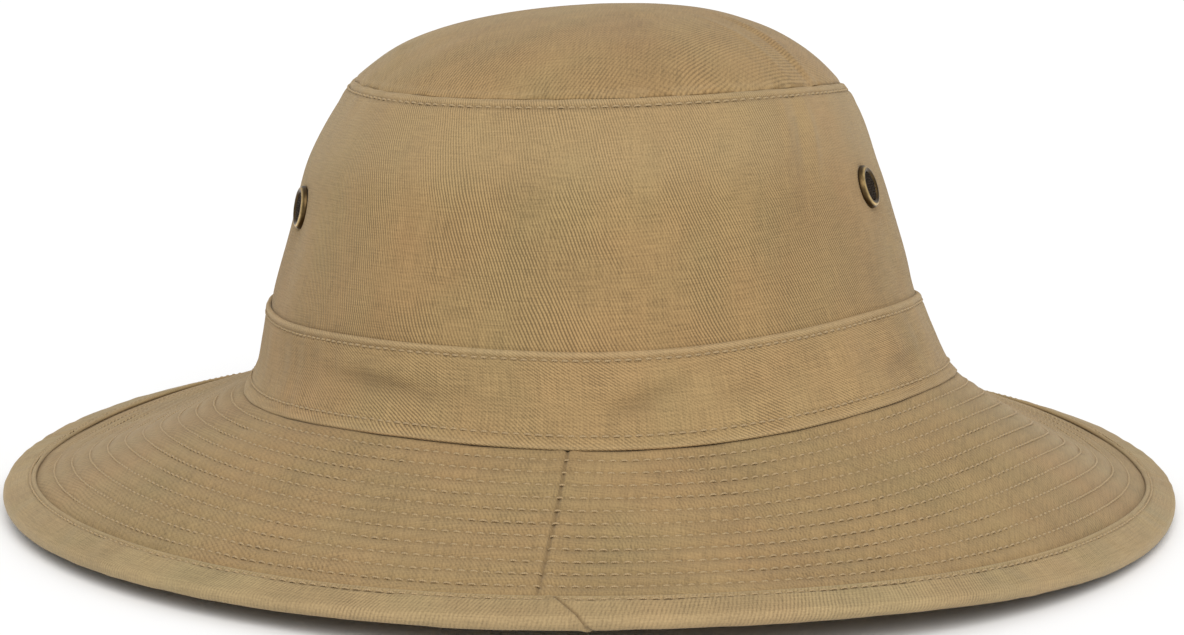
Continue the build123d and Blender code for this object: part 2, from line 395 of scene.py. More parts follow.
def thread_dashes(name, runs):
    """Stitches as short arched threads.  Each run is (starts, ends, normals): arrays of points."""
    sides = 6
    # (place along the stitch, height, thickness) of each ring of the thread
    profile = [(-0.5, -0.45, 0.35), (-0.42, 0.0, 0.9), (-0.2, 0.75, 1.0), (0.0, 0.9, 1.05),
               (0.2, 0.75, 1.0), (0.42, 0.0, 0.9), (0.5, -0.45, 0.35)]
    starts = np.concatenate([run[0] for run in runs])
    ends = np.concatenate([run[1] for run in runs])
    normals = np.concatenate([run[2] for run in runs])
    count = len(starts)
    middle, span = (starts + ends) / 2, ends - starts
    length = np.linalg.norm(span, axis=-1, keepdims=True)
    along = span / length
    side = np.cross(along, normals)
    side /= np.linalg.norm(side, axis=-1, keepdims=True)
    normals = np.cross(side, along)
    wobble = np.random.default_rng(7).uniform(-1, 1, (count, 2))
    middle = middle + side * wobble[:, :1] * 0.06
    rings = []
    for place, height, size in profile:
        rise = height * THREAD * (1 + 0.15 * wobble[:, 1:])
        centre = middle + along * length * place * 0.9 + normals * rise
        for k in range(sides):
            angle = 2 * math.pi * k / sides
            rings.append(centre + THREAD * size * (side * math.cos(angle) + 0.8 * normals * math.sin(angle)))
    verts = np.stack(rings, 1)
    block, cr, cc = grid_faces(len(profile), sides, True)
    faces = (block[None] + np.arange(count)[:, None, None] * len(profile) * sides).reshape(-1, 4)
    uv = np.stack([cr * 0.42, cc * 0.25], -1)
    uv = np.broadcast_to(uv[None], (count,) + cr.shape + (2,)).reshape(-1, 4, 2)
    caps = []
    for ring_start, order in ((0, -1), ((len(profile) - 1) * sides, 1)):
        ring = (ring_start + np.arange(sides))[::order]
        caps.append((ring[None] + np.arange(count)[:, None] * len(profile) * sides))
    cap_uv = [np.zeros((count, sides, 2)) for _ in caps]
    piece = make_mesh(name, verts, [faces] + caps, [uv] + cap_uv)
    return dress(piece, M_THREAD)


def row_of_stitches(surface, v, radius, start=0.0, sink=0.0):
    """The stitches of one row at v on a surface(t, v) of about that half-width."""
    turn = np.array([start, start + 2 * math.pi])
    whole = np.diff(arc_length(turn, radius))[0]
    count = round(whole / STITCH)
    fine = start + np.linspace(0, 2 * math.pi, 2000)
    lengths = arc_length(fine, radius)
    begin = np.interp(lengths[0] + np.arange(count) * whole / count, lengths, fine)
    finish = np.interp(lengths[0] + (np.arange(count) + 1 - STITCH_GAP) * whole / count, lengths, fine)
    a, _, _ = surface_frame(surface, begin, np.full(count, v))
    b, _, _ = surface_frame(surface, finish, np.full(count, v))
    _, _, normal = surface_frame(surface, (begin + finish) / 2, np.full(count, v))
    return a - normal * sink, b - normal * sink, normal


# ---- Materials ----
class Graph:
    """A short way to write a node material."""

    def __init__(self, name):
        self.material = bpy.data.materials.new(name)
        self.material.use_nodes = True
        self.tree = self.material.node_tree
        self.tree.nodes.clear()
        self.shader = self.add("ShaderNodeBsdfPrincipled")
        output = self.add("ShaderNodeOutputMaterial")
        self.tree.links.new(self.shader.outputs[0], output.inputs["Surface"])

    def add(self, kind, inputs=None, **settings):
        node = self.tree.nodes.new(kind)
        for key, value in settings.items():
            setattr(node, key, value)
        for key, value in (inputs or {}).items():
            self.put(node.inputs[key], value)
        return node

    def put(self, socket, value):
        if isinstance(value, bpy.types.NodeSocket):
            self.tree.links.new(value, socket)
        else:
            socket.default_value = value

    def math(self, operation, a, b=0.0, c=0.0):
        node = self.add("ShaderNodeMath", operation=operation)
        for socket, value in zip(node.inputs, (a, b, c)):
            self.put(socket, value)
        return node.outputs[0]

    def times(self, a, b):
        return self.math("MULTIPLY", a, b)

    def plus(self, a, b):
        return self.math("ADD", a, b)

    def wave(self, value, count=1):
        """Waves from 0 to 1, count of them for each unit of value."""
        sine = self.math("SINE", self.times(value, count * 2 * math.pi))
        return self.math("MULTIPLY_ADD", sine, 0.5, 0.5)

    def cloth(self):
        """Place on the cloth in mm: both ways together, along and across."""
        uv = self.add("ShaderNodeUVMap", uv_map=UV).outputs[0]
        split = self.add("ShaderNodeSeparateXYZ", {"Vector": uv})
        return uv, split.outputs[0], split.outputs[1]

    def mix(self, factor, a, b):
        node = self.add("ShaderNodeMix", data_type="RGBA")
        for key, value in ((0, factor), (6, a), (7, b)):
            self.put(node.inputs[key], value)
        return node.outputs[2]

    def noise(self, vector, scale, detail=2.0, rough=0.5):
        inputs = {"Vector": vector, "Scale": scale, "Detail": detail, "Roughness": rough}
        return self.add("ShaderNodeTexNoise", inputs).outputs["Fac"]

    def stretch(self, vector, scale):
        return self.add("ShaderNodeMapping", {"Vector": vector, "Scale": scale}).outputs[0]

    def mark(self, name):
        return self.add("ShaderNodeAttribute", attribute_name=name).outputs["Fac"]

    def bump(self, height, distance, strength=1.0):
        inputs = {"Height": height, "Distance": distance, "Strength": strength}
        return self.add("ShaderNodeBump", inputs).outputs[0]

    def set(self, **values):
        for key, value in values.items():
            self.put(self.shader.inputs[key.replace("_", " ")], value)


def rgb(r, g, b):
    """Linear colour from screen values out of 255."""
    def linear(c):
        c = c / 255
        return c / 12.92 if c <= 0.04045 else ((c + 0.055) / 1.055) ** 2.4
    return (linear(r), linear(g), linear(b), 1.0)


def shade(colour, factor):
    """A colour made darker or lighter by one factor."""
    return tuple(min(1, c * factor) for c in colour[:3]) + (1,)


KHAKI = rgb(144, 118, 80)
KHAKI_SHADE = rgb(104, 84, 57)
BROWNER = (1.03, 0.98, 0.95)
GREENER = (0.98, 1.04, 1.02)
KHAKI_LIGHT = rgb(176, 154, 118)


def drill_cloth(name, turn, base=KHAKI, pitch=0.817, relief=0.00007, twill=1.35, streaks=1.2):
    """Cotton drill: a steep twill rib, thread by thread colour, edges that have gone pale with use, painted
    highlights, and painted shade in grooves and creases.
    turn is the angle of the twill lines below the strip's length, in degrees; twill and streaks say
    how strongly the twill rib and the single threads show in the colour."""
    g = Graph(name)
    uv, u, v = g.cloth()
    nx, ny = math.sin(math.radians(turn)), math.cos(math.radians(turn))
    drift = g.times(g.noise(uv, 0.05, 2.0), 2.2)
    across = g.plus(g.times(u, nx), g.times(v, ny))
    across = g.plus(across, drift)
    down = g.math("SUBTRACT", g.times(u, ny), g.times(v, nx))
    phase = g.times(across, 1 / pitch)
    rib = g.math("POWER", g.wave(phase), 0.7)
    shift = g.times(g.math("FLOOR", phase), 0.37)
    floats = g.wave(g.plus(g.times(down, 1 / 0.62), shift))
    weave = g.times(rib, g.math("MULTIPLY_ADD", floats, 0.3, 0.7))
    showing = g.math("MULTIPLY_ADD", g.noise(uv, 0.045, 2.0), 2.6, -0.75)
    showing = g.math("MINIMUM", g.math("MAXIMUM", showing, 0.25), 1.0)
    warp = g.noise(g.stretch(uv, (2.6, 0.12, 1)), 1.0, 2.0)
    weft = g.noise(g.stretch(uv, (0.12, 2.6, 1)), 1.0, 2.0)
    specks = g.noise(uv, 2.2, 1.0)
    blotch = g.noise(uv, 0.035, 3.0, 0.6)
    yarn = g.plus(g.times(warp, 0.5), g.times(weft, 0.5))
    tone = g.math("MULTIPLY_ADD", g.math("SUBTRACT", yarn, 0.5), streaks, 0.5)
    twill_tone = g.times(g.math("SUBTRACT", weave, 0.5), twill)
    tone = g.plus(tone, g.times(twill_tone, showing))
    tone = g.plus(tone, g.times(g.math("SUBTRACT", specks, 0.5), 0.5))
    tone = g.plus(tone, g.times(g.math("SUBTRACT", blotch, 0.5), 0.5))
    drift_tint = g.math("MULTIPLY_ADD", g.noise(uv, 0.028, 3.0, 0.55), 2.4, -0.7)
    shades = []
    for tint in (BROWNER, GREENER):
        low, middle, high = (tuple(c * t * factor for c, t in zip(base[:3], tint)) + (1,)
                             for factor in (0.56, 1, 1.36))
        ramp = g.add("ShaderNodeValToRGB", {"Fac": tone})
        stops = ramp.color_ramp.elements
        stops[0].position, stops[0].color = 0.1, low
        stops[1].position, stops[1].color = 0.9, high
        stops.new(0.5).color = middle
        shades.append(ramp.outputs[0])
    cloth = g.mix(drift_tint, *shades)
    # Paler where the mark for pale edges and highlights is high: partly real use at edges, partly painted
    # highlight where light falls.
    rubbed_and_lit = g.times(g.mark("wear_and_highlight"), g.math("MULTIPLY_ADD", specks, 0.4, 0.1))
    worn_and_lit = g.mix(rubbed_and_lit, cloth, KHAKI_LIGHT)
    # Painted shade: darker where the painted shade mark is high, in stitch grooves, seams, creases and under
    # the band.
    shaded_cloth = g.mix(g.times(g.mark("painted_shade"), 0.6), worn_and_lit, KHAKI_SHADE)
    height = g.plus(weave, g.times(yarn, 0.7))
    fuzz = g.noise(uv, 5.0, 2.0)
    g.set(Base_Color=shaded_cloth, Normal=g.bump(g.math("MULTIPLY_ADD", fuzz, 0.25, height), relief))
    g.set(Roughness=g.math("MULTIPLY_ADD", weave, -0.08, 0.93))
    g.set(Sheen_Weight=0.18, Sheen_Roughness=0.45, Specular_IOR_Level=0.25)
    g.shader.inputs["Sheen Tint"].default_value = (0.9, 0.82, 0.66, 1)
    return g.material


def thread_cotton(name, base):
    """Twisted sewing thread."""
    g = Graph(name)
    _, u, v = g.cloth()
    twist = g.wave(g.plus(g.times(u, 2.2), g.times(v, 1.35)))
    position = g.add("ShaderNodeTexCoord").outputs["Object"]
    tone = g.noise(position, 900.0, 1.0)
    light = g.math("MULTIPLY_ADD", twist, 0.35, g.times(tone, 0.5))
    colour = g.mix(light, shade(base, 0.7), shade(base, 1.25))
    g.set(Base_Color=colour, Roughness=0.75, Sheen_Weight=0.15, Normal=g.bump(twist, 0.00005))
    return g.material


def plain_cotton(name, base, rib=1.6, relief=0.00005):
    """Close plain-woven tape."""
    g = Graph(name)
    uv, u, v = g.cloth()
    weave = g.times(g.wave(u, rib), g.wave(v, rib))
    cloudy = g.noise(uv, 0.12, 3.0)
    specks = g.noise(uv, 2.0, 2.0)
    uneven = g.plus(g.times(cloudy, 0.4), g.times(specks, 0.3))
    tone = g.plus(g.times(weave, 0.4), uneven)
    colour = g.mix(tone, shade(base, 0.66), shade(base, 1.22))
    # Painted shade: darker where the painted shade mark is high.
    colour = g.mix(g.times(g.mark("painted_shade"), 0.5), colour, shade(base, 0.55))
    g.set(Base_Color=colour, Roughness=0.92, Sheen_Weight=0.15, Normal=g.bump(weave, relief))
    return g.material


def metal(name, base, dark, rough):
    """Brass that has browned, bright where its mark for pale edges and highlights is high: on an eyelet's
    crest this is a painted highlight.
    """
    g = Graph(name)
    position = g.add("ShaderNodeTexCoord").outputs["Object"]
    patina = g.noise(position, 700.0, 4.0, 0.6)
    pits = g.noise(position, 2600.0, 3.0, 0.7)
    rubbed_and_lit = g.times(g.mark("wear_and_highlight"), g.math("MULTIPLY_ADD", patina, 1.4, 0.1))
    colour = g.mix(g.math("MINIMUM", rubbed_and_lit, 1.0), dark, base)
    g.set(Base_Color=colour, Metallic=1.0, Normal=g.bump(pits, 0.00003, 0.6))
    g.set(Roughness=g.math("MULTIPLY_ADD", pits, 0.3, rough))
    return g.material


def dress(piece, material):
    """Material, slot and body for one piece."""
    piece.data.materials.append(material)
    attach(piece, "root")
    return piece


M_WALL = drill_cloth("drill_wall", 62.6)
M_TIP = drill_cloth("drill_tip", 62.6, relief=0.00005, twill=0.7)
M_BAND = drill_cloth("drill_band", 30.0, rgb(149, 123, 85), pitch=0.62, twill=0.9)
M_BRIM = drill_cloth("drill_brim", 62.6, rgb(142, 117, 80), relief=0.00003, twill=0.3, streaks=1.3)
M_UNDER = drill_cloth("drill_under", 62.6, rgb(142, 118, 81), relief=0.00003, twill=0.3)
M_BINDING = drill_cloth("drill_binding", 72.0, rgb(149, 127, 91), relief=0.00004, twill=0.5)
M_SWEAT = drill_cloth("drill_sweatband", 62.6, rgb(146, 124, 90), relief=0.00004)
M_TAPE = plain_cotton("cotton_tape", rgb(140, 117, 82))
M_LABEL = plain_cotton("label_satin", rgb(214, 208, 190), rib=2.4, relief=0.00002)
M_STIFF = plain_cotton("interlining", rgb(222, 219, 208), rib=1.0)
M_THREAD = thread_cotton("thread_khaki", rgb(164, 139, 99))
# The bright brass colour is a painted highlight; the dark one is patina with painted dark reflection.
M_BRASS = metal("antique_brass", rgb(226, 194, 134), rgb(48, 33, 17), 0.22)
M_SCREEN = metal("dark_wire", rgb(78, 66, 54), rgb(24, 21, 19), 0.4)


# ---- Crown pieces ----
# (mm along, height, half length, turn, half width, height) of the creases under the tip seam
WALL_CREASE_ANGLE = 322
WALL_CREASES = [(0, 63, 9, 82, 1.8, -0.6), (5, 63, 8, 84, 1.6, 0.5), (-5, 64, 8, 80, 1.6, 0.4)]


def wall_face(t, h):
    """The wall's outside with its seams and topstitching."""
    t, h = np.broadcast_arrays(t, h)
    out = groove(h - TIP_STITCH, 0.3, 0.4) + 0.3 * smooth((h - TIP_STITCH + 4) / 3)
    near_tip = np.exp(-np.maximum(WALL_HEIGHT - h, 0) / 5.0)
    out = out + 0.45 * near_tip * cloth_noise(t, h * 0.15, 6.5, 31)
    out = out + creased(angle_gap(t, WALL_CREASE_ANGLE) * 75, h, WALL_CREASES)
    for seam in SIDE_SEAMS:
        gap = np.abs(angle_gap(t, seam)) * HALF_WIDTH * LENGTH_RATIO
        out = out + groove(gap, 0.45, 0.4) + 0.15 * bell(gap - 1.6, 1.2)
    return crown(t, h, out - 0.8 * smooth((h - WALL_HEIGHT + 0.3) / 0.3))


def crown_wall(name, start, node):
    """Half the wall, from the side seam at angle start, with its vents cut out."""
    t = np.radians(start) + np.radians(spans((0, 3, 14), (3, 177, 330), (177, 180, 14)))
    heights = spans((-0.3, 66, 62), (66, WALL_HEIGHT, 30))
    T, H = np.meshgrid(t, heights)
    outside = wall_face(T, H)
    inside = crown(T, H, -DRILL)
    rows, cols = T.shape
    hole = np.zeros((rows, cols), bool)
    for angle, height in VENTS.values():
        centre = crown(np.radians(angle), height)
        hole |= np.linalg.norm(crown(T, H) - centre, axis=-1) < VENT_CUT
    faces, uvs = [], []
    arc = arc_length(t % (2 * math.pi) + (2 * math.pi) * (t >= 2 * math.pi - 1e-9), HALF_WIDTH)
    kept = ~(hole[:-1, :-1] | hole[1:, :-1] | hole[:-1, 1:] | hole[1:, 1:])
    for base, flip in ((0, False), (rows * cols, True)):
        block, cr, cc = grid_faces(rows, cols, False, base=base, flip=flip)
        use = kept.ravel()
        faces.append(block[use])
        uvs.append(np.stack([arc[cc[use]], heights[cr[use]]], -1))
    rim, rim_uv = ply_edges(kept, rows, cols, arc, heights)
    verts = joined(outside, inside)
    # Painted highlight: lighter along the wall's top edge and over its upper part, as where light from above
    # falls.
    rubbed_and_lit = np.clip(bell(WALL_HEIGHT - 0.45 - H, 0.4) + 0.6 * smooth((H - 48) / 14), 0, 1)
    wear_and_highlight = np.concatenate([rubbed_and_lit.ravel(), np.zeros(rows * cols)])
    # Painted shade in the groove of the tip stitching.
    painted_shade = np.concatenate([(np.exp(-(H - TIP_STITCH) ** 2 / 0.2) * 0.8).ravel(), np.zeros(rows * cols)])
    piece = make_mesh(name, verts, faces + [rim], uvs + [rim_uv], {"wear_and_highlight": wear_and_highlight, "painted_shade": painted_shade})
    drop_loose(piece)
    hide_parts(node)
    return dress(piece, M_WALL)


def ply_edges(kept, rows, cols, arc, heights):
    """Faces that close the edge of a two-faced ply, round its outline and any holes."""
    padded_cells = np.zeros((rows + 1, cols + 1), bool)
    padded_cells[1:-1, 1:-1] = kept
    quads, coords = [], []
    size = rows * cols
    # an edge between neighbouring grid points is on the outline when just one side is kept
    for r, c, dr, dc, one in edge_sides(padded_cells, rows, cols):
        a, b = r * cols + c, (r + dr) * cols + (c + dc)
        order = (a, a + size, b + size, b) if one else (b, b + size, a + size, a)
        quads.append(order)
        uv_a, uv_b = (arc[c], heights[r]), (arc[c + dc], heights[r + dr])
        coords.append((uv_a, uv_a, uv_b, uv_b) if one else (uv_b, uv_b, uv_a, uv_a))
    return np.array(quads), np.array(coords)


def edge_sides(cells, rows, cols):
    """(row, column, step to the far end, which side is cloth) of every outline edge."""
    below, above = cells[:rows, 1:cols], cells[1:rows + 1, 1:cols]
    for r, c in np.argwhere(below != above):
        yield r, c, 0, 1, not below[r, c]
    left, right = cells[1:rows, :cols], cells[1:rows, 1:cols + 1]
    for r, c in np.argwhere(left != right):
        yield r, c, 1, 0, left[r, c]


def drop_loose(piece):
    """Remove vertices that no face uses."""
    work = bmesh.new()
    work.from_mesh(piece.data)
    bmesh.ops.delete(work, geom=[v for v in work.verts if not v.link_faces], context="VERTS")
    work.to_mesh(piece.data)
    work.free()


def crown_tip():
    """The tip: two domed grids from the seam inward, each closed by a fan at the top."""
    t = evenly(60, 640)
    across = spans((1, 0.93, 20), (0.93, 0.02, 62))
    T, A = np.meshgrid(t, across)
    inset = (1 - A) * TIP_RADIUS
    roll = -0.5 * bell(inset, 0.5)
    pucker = 0.25 * np.exp(-inset / 4.0) * cloth_noise(T, A * 9, 5.0, 33)
    outside = dome(T, A) + (roll + pucker)[..., None] * np.array([0, 0, 1.0])
    inside = dome(T, A * (1 - DRILL / (TIP_RADIUS + 1)), -DRILL)
    rows, cols = T.shape
    top, bottom = dome(0.0, 0.0), dome(0.0, 0.0, -DRILL)
    verts = joined(outside, inside, top, bottom)
    size = rows * cols
    faces = []
    for base, flip, pole in ((0, False, 2 * size), (size, True, 2 * size + 1)):
        faces.append(grid_faces(rows, cols, True, base=base, flip=flip)[0])
        ring = base + (rows - 1) * cols + np.arange(cols)
        fan = np.stack([ring, np.roll(ring, -1), np.full(cols, pole)], -1)
        faces.append(fan[:, ::-1] if flip else fan)
    edge = np.arange(cols)
    faces.append(np.stack([edge, edge + size, np.roll(edge, -1) + size, np.roll(edge, -1)], -1))
    turn = np.array([[-1.0, 0.0], [0.0, 1.0]])
    uvs = [verts[block][..., :2] @ turn for block in faces]
    wear_and_highlight = np.concatenate([bell(inset - 1.0, 0.7).ravel() * 0.4, np.zeros(size + 2)])
    piece = make_mesh("crown_tip_cloth", verts, faces, uvs, {"wear_and_highlight": wear_and_highlight, "painted_shade": np.zeros(len(verts))})
    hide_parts("crown_tip")
    return dress(piece, M_TIP)


def rounded(points, per):
    """Points of a closed section with each side divided and its corners kept."""
    out = []
    for a, b in zip(points, points[1:] + points[:1]):
        out += [(a[0] + (b[0] - a[0]) * k / per, a[1] + (b[1] - a[1]) * k / per) for k in range(per)]
    return out


def band_section(low, high, ply):
    """(height, out) round a folded strip: up its outside, over the fold and down its inside."""
    edge = ply / 2
    arc = [(math.sin(a) * edge, edge + math.cos(a) * edge) for a in np.linspace(0, math.pi, 9)]
    tall = high - low - 2 * edge
    outside = [(low + edge + h, ply) for h in spans((0, 4, 14), (4, tall - 4, 10), (tall - 4, tall, 14))]
    top = [(high - edge + a, b) for a, b in arc[1:-1]]
    inside = [(high - edge - tall * k / 6, 0.0) for k in range(7)]
    bottom = [(low + edge - a, b) for a, b in arc[::-1][1:-1]]
    return np.array(outside + top + inside + bottom)


def hat_band():
    """The band; returns its two rows of stitches."""
    t = evenly(HALF_WIDTH, 900)
    section = band_section(-0.6, BAND_HEIGHT, BAND_PLY)
    H, T = np.meshgrid(section[:, 0], t, indexing="ij")
    face = section[:, 1:] / BAND_PLY
    out = 0.1 + section[:, 1:] + 0 * T
    for row in BAND_ROWS:
        out = out + face * groove(H - row, 0.22, 0.5)
    out = out + face * 0.12 * bell(H - BAND_HEIGHT + 0.8, 0.6)
    loose = np.sin(math.pi * np.clip(H / BAND_HEIGHT, 0, 1))
    out = out + face * (0.3 * cloth_noise(T, H, 11, 41) * loose + 0.16 * cloth_noise(T, H * 0.4, 4.5, 42))
    dent = 0 * T
    for angle, *crease in BAND_CREASES:
        dent = dent + creased(angle_gap(T, angle) * HALF_WIDTH, H, [(0.0, *crease)])
    out = out + face * dent
    points = crown(T, H, out)
    wear_and_highlight = bell(H - BAND_HEIGHT + 0.5, 0.8) + 0.6 * bell(H + 0.2, 0.8)
    wear_and_highlight = face * wear_and_highlight + 0 * T
    # Painted shade in the grooves of the two stitch rows and in the creases.
    painted_shade = bell(H - BAND_ROWS[0], 0.4) + 0.7 * bell(H - BAND_ROWS[1], 0.4)
    painted_shade = face * (0.5 * painted_shade + 0.5 * np.clip(-dent, 0, 1))
    uv = strip_uv(t, lengths_along(section))
    piece = swept("hat_band_cloth", points, t, True, uv=uv, marks={"wear_and_highlight": wear_and_highlight, "painted_shade": painted_shade})
    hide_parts("hat_band")
    dress(piece, M_BAND)

    def face_at(angle, height):
        return crown(angle, height, BAND_PLY - 0.2)

    return [row_of_stitches(face_at, row, HALF_WIDTH, sink=-0.1) for row in BAND_ROWS]


# (angle, height, half length, turn, half width, depth) of the soft creases in the band
BAND_CREASES = [
    (239, 9.5, 17, -4, 2.0, -1.0), (240, 13.5, 15, -4, 2.0, 0.4), (283, 9, 10, 17, 2.4, -1.0),
    (279, 12, 9, 17, 2.2, 0.4), (334, 7, 9, 10, 2.2, -0.8), (332, 11, 9, 10, 2.0, 0.4),
    (300, 9, 10, 10, 2.2, -0.35), (120, 10, 12, -10, 2.0, -0.6), (60, 9, 10, 14, 2.0, -0.5),
    (175, 12, 9, -16, 2.0, -0.5), (95, 8, 14, 4, 2.4, -0.4),
]


def sweatband():
    """The sweatband; returns its two rows of stitches."""
    t = evenly(HALF_WIDTH - 4, 640)
    section = band_section(0.2, SWEATBAND_HEIGHT, SWEATBAND_PLY)
    H, T = np.meshgrid(section[:, 0], t, indexing="ij")
    # the strip's outside faces the head, so its section is turned round
    inset = SWEATBAND_INSET + section[:, 1:] + 0 * T
    face = section[:, 1:] / SWEATBAND_PLY
    for row in SWEATBAND_ROWS:
        inset = inset + face * groove(H - row, 0.3, 0.5)
    curl = smooth((H - 12) / 20) * (0.8 + 0.5 * cloth_noise(T, H * 0.3, 30, 51))
    inset = inset + curl + face * 0.2 * cloth_noise(T, H, 8, 52)
    points = crown(T, H, -inset)
    wear_and_highlight = face * bell(H - SWEATBAND_HEIGHT + 0.6, 0.8) + 0 * T
    piece = swept("sweatband_cloth", points, t, True, flip=True, uv=strip_uv(t, lengths_along(section)),
                  marks={"wear_and_highlight": wear_and_highlight, "painted_shade": 0 * T})
    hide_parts("sweatband")
    dress(piece, M_SWEAT)

    def face_at(angle, height):
        # the noise is read at the mirrored angle, so the upper row strays a little from the strip
        uneven = cloth_noise(-angle, np.asarray(height) * 0.3, 30, 51)
        curl_here = smooth((height - 12) / 20) * (0.8 + 0.5 * uneven)
        return crown(angle, height, -(SWEATBAND_INSET + SWEATBAND_PLY + curl_here) + 0.2)

    return [row_of_stitches(face_at, row, HALF_WIDTH - 4, sink=0.2) for row in SWEATBAND_ROWS]


def inner_strip(name, node, start, end, low, high, inset, ply, material, count, curl=0.0):
    """A closed strip of tape or label on the inside of the crown."""
    t = np.radians(np.linspace(start, end, count))
    rows = 14
    across = np.linspace(low, high, rows)
    T, H = np.meshgrid(t, across)
    wave = 0.12 * cloth_noise(T, H, 6, 61) + curl * ((H - low) / (high - low)) ** 2
    face = crown(T, H, -inset - ply - wave)
    back = crown(T, H, -inset - wave)
    size = rows * count
    whole = end - start >= 359
    front_faces, cr, cc = grid_faces(rows, count, whole, flip=True)
    back_faces, br, bc = grid_faces(rows, count, whole, base=size)
    arc = arc_length(t + 2 * math.pi, HALF_WIDTH)
    arc = np.append(arc, arc[-1] + arc[1] - arc[0])
    faces = [front_faces, back_faces]
    uvs = [np.stack([arc[cc], across[cr]], -1), np.stack([arc[bc], across[br]], -1)]
    columns = np.arange(count if whole else count - 1)
    for r, order in ((0, 1), (rows - 1, -1)):
        a, b = r * count + columns, r * count + (columns + 1) % count
        faces.append(np.stack([a, b, b + size, a + size], -1)[:, ::order])
        uvs.append(np.stack([np.stack([arc[columns], across[r] + 0 * columns], -1)] * 4, 1))
    if not whole:
        lines = np.arange(rows - 1) * count
        for c, order in ((0, -1), (count - 1, 1)):
            a, b = lines + c, lines + count + c
            faces.append(np.stack([a, b, b + size, a + size], -1)[:, ::order])
            uvs.append(np.stack([np.stack([arc[c] + 0 * lines, across[:-1]], -1)] * 4, 1))
    verts = joined(face, back)
    piece = make_mesh(name, verts, faces, uvs, {"painted_shade": np.zeros(len(verts)), "wear_and_highlight": np.zeros(len(verts))})
    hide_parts(node)
    return dress(piece, material)


# ---- Vents ----
def vent_place(angle, height):
    """Position, across, up and out of a vent on the wall."""
    t = np.radians(angle)
    here, across, out = surface_frame(crown, np.array([t]), np.array([height]))
    if np.dot(out[0], here[0] * [1, 1, 0]) < 0:
        out = -out
    outward, run = out[0], across[0]
    up = np.cross(outward, run)
    up = up if up[2] > 0 else -up
    return here[0], np.cross(up, outward), up, outward


def turned_piece(name, node, place, profile, material, marks):
    """A ring turned about a vent's axis from (radius, out) points of a closed section."""
    centre, across, up, out = place
    count = 64
    angles = np.arange(count) * 2 * math.pi / count
    radius, height = np.array(profile).T
    ring = across[None] * np.cos(angles)[:, None] + up[None] * np.sin(angles)[:, None]
    points = centre + radius[:, None, None] * ring[None] + height[:, None, None] * out
    faces, cr, cc = grid_faces(len(profile), count, True, True)
    wear_and_highlight = np.repeat(np.asarray(marks, float), count)
    uv = np.stack([cc * 0.5, cr * 0.3], -1)
    piece = make_mesh(name, points, [faces], [uv], {"wear_and_highlight": wear_and_highlight})
    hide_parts(node)
    return dress(piece, material)


def eyelet(place, where):
    """A domed flange whose inner edge turns in through the cloth."""
    sweep = np.linspace(0.0, math.pi * 0.93, 18)
    dome_arc = [(4.3 + 1.0 * math.cos(a), 0.05 + 1.35 * math.sin(a)) for a in sweep]
    inner = [(3.3, 0.5), (3.25, -1.0), (3.25, -2.4), (3.5, -2.4), (3.55, -1.0), (3.6, -0.1)]
    under = [(3.8, 0.1), (4.5, 0.2), (5.0, -0.02)]
    profile = dome_arc + inner + under
    # Painted highlight in a narrow ring just outside the dome's crest; the rest keeps the dark colour,
    # patina with painted dark reflection.
    marks = [0.08 + 0.92 * math.exp(-((a - 1.2) / 0.28) ** 2) for a in sweep] + [0.02] * 9
    turned_piece("eyelet_ring_" + where, "eyelet_" + where, place, profile[::-1],
                 M_BRASS, marks[::-1])


def washer(place, where):
    """The flat ring that the eyelet is clenched over, inside the wall."""
    profile = [(3.65, -1.6), (3.75, -1.35), (5.0, -1.35), (5.25, -1.5), (5.25, -1.7), (5.0, -1.85),
               (4.1, -2.1), (3.75, -2.05), (3.65, -1.9)]
    marks = [0.2, 0.2, 0.2, 0.6, 0.6, 0.9, 1.0, 0.8, 0.4]
    turned_piece("washer_ring_" + where, "eyelet_washer_" + where, place, profile,
                 M_BRASS, marks)


def vent_screen(place, where):
    """A disc of plain-woven wire held in the eyelet's throat."""
    centre, across, up, out = place
    pitch, wire, sides, steps = 0.62, 0.13, 6, 40
    verts, faces, uvs = [], [], []
    offsets = np.arange(-5, 6) * pitch
    for way, (run, side) in enumerate(((across, up), (up, across))):
        for index, offset in enumerate(offsets):
            half = math.sqrt(max(SCREEN_RADIUS ** 2 - offset ** 2, 0.2))
            s = np.linspace(-half, half, steps)
            sway = wire * np.cos(math.pi * s / pitch + math.pi * (index + way))
            line = centre + run * s[:, None] + side * offset + out * (sway + SCREEN_LEVEL)[:, None]
            turns = np.arange(sides) * 2 * math.pi / sides
            ring = [wire * (side * math.cos(a) + out * math.sin(a)) for a in turns]
            tube = line[:, None] + np.array(ring)[None]
            base = sum(len(v) for v in verts)
            block, cr, cc = grid_faces(steps, sides, True, base=base)
            verts.append(tube.reshape(-1, 3))
            faces.append(block)
            uvs.append(np.stack([cr * 0.1, cc * 0.1], -1))
    verts = np.concatenate(verts)
    wear_and_highlight = np.random.default_rng(5).uniform(0.2, 0.9, len(verts))
    piece = make_mesh("vent_mesh_" + where, verts, faces, uvs, {"wear_and_highlight": wear_and_highlight})
    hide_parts("vent_screen_" + where)
    dress(piece, M_SCREEN)


# ---- Brim pieces ----
def brim_stations():
    """Distances out along the brim, closer together at each row of stitches."""
    inside = np.linspace(-SEAM_MARGIN, 0, 5)[:-1]
    steps = np.array([0, 0.08, 0.17, 0.3, 0.5, 0.7, 0.83, 0.92])
    rows = (np.arange(ROWS + 1)[:, None] + steps[None]).ravel() * ROW_PITCH
    return np.concatenate([inside, rows, np.linspace(BINDING_EDGE, BRIM_SLANT - 1.0, 4)])


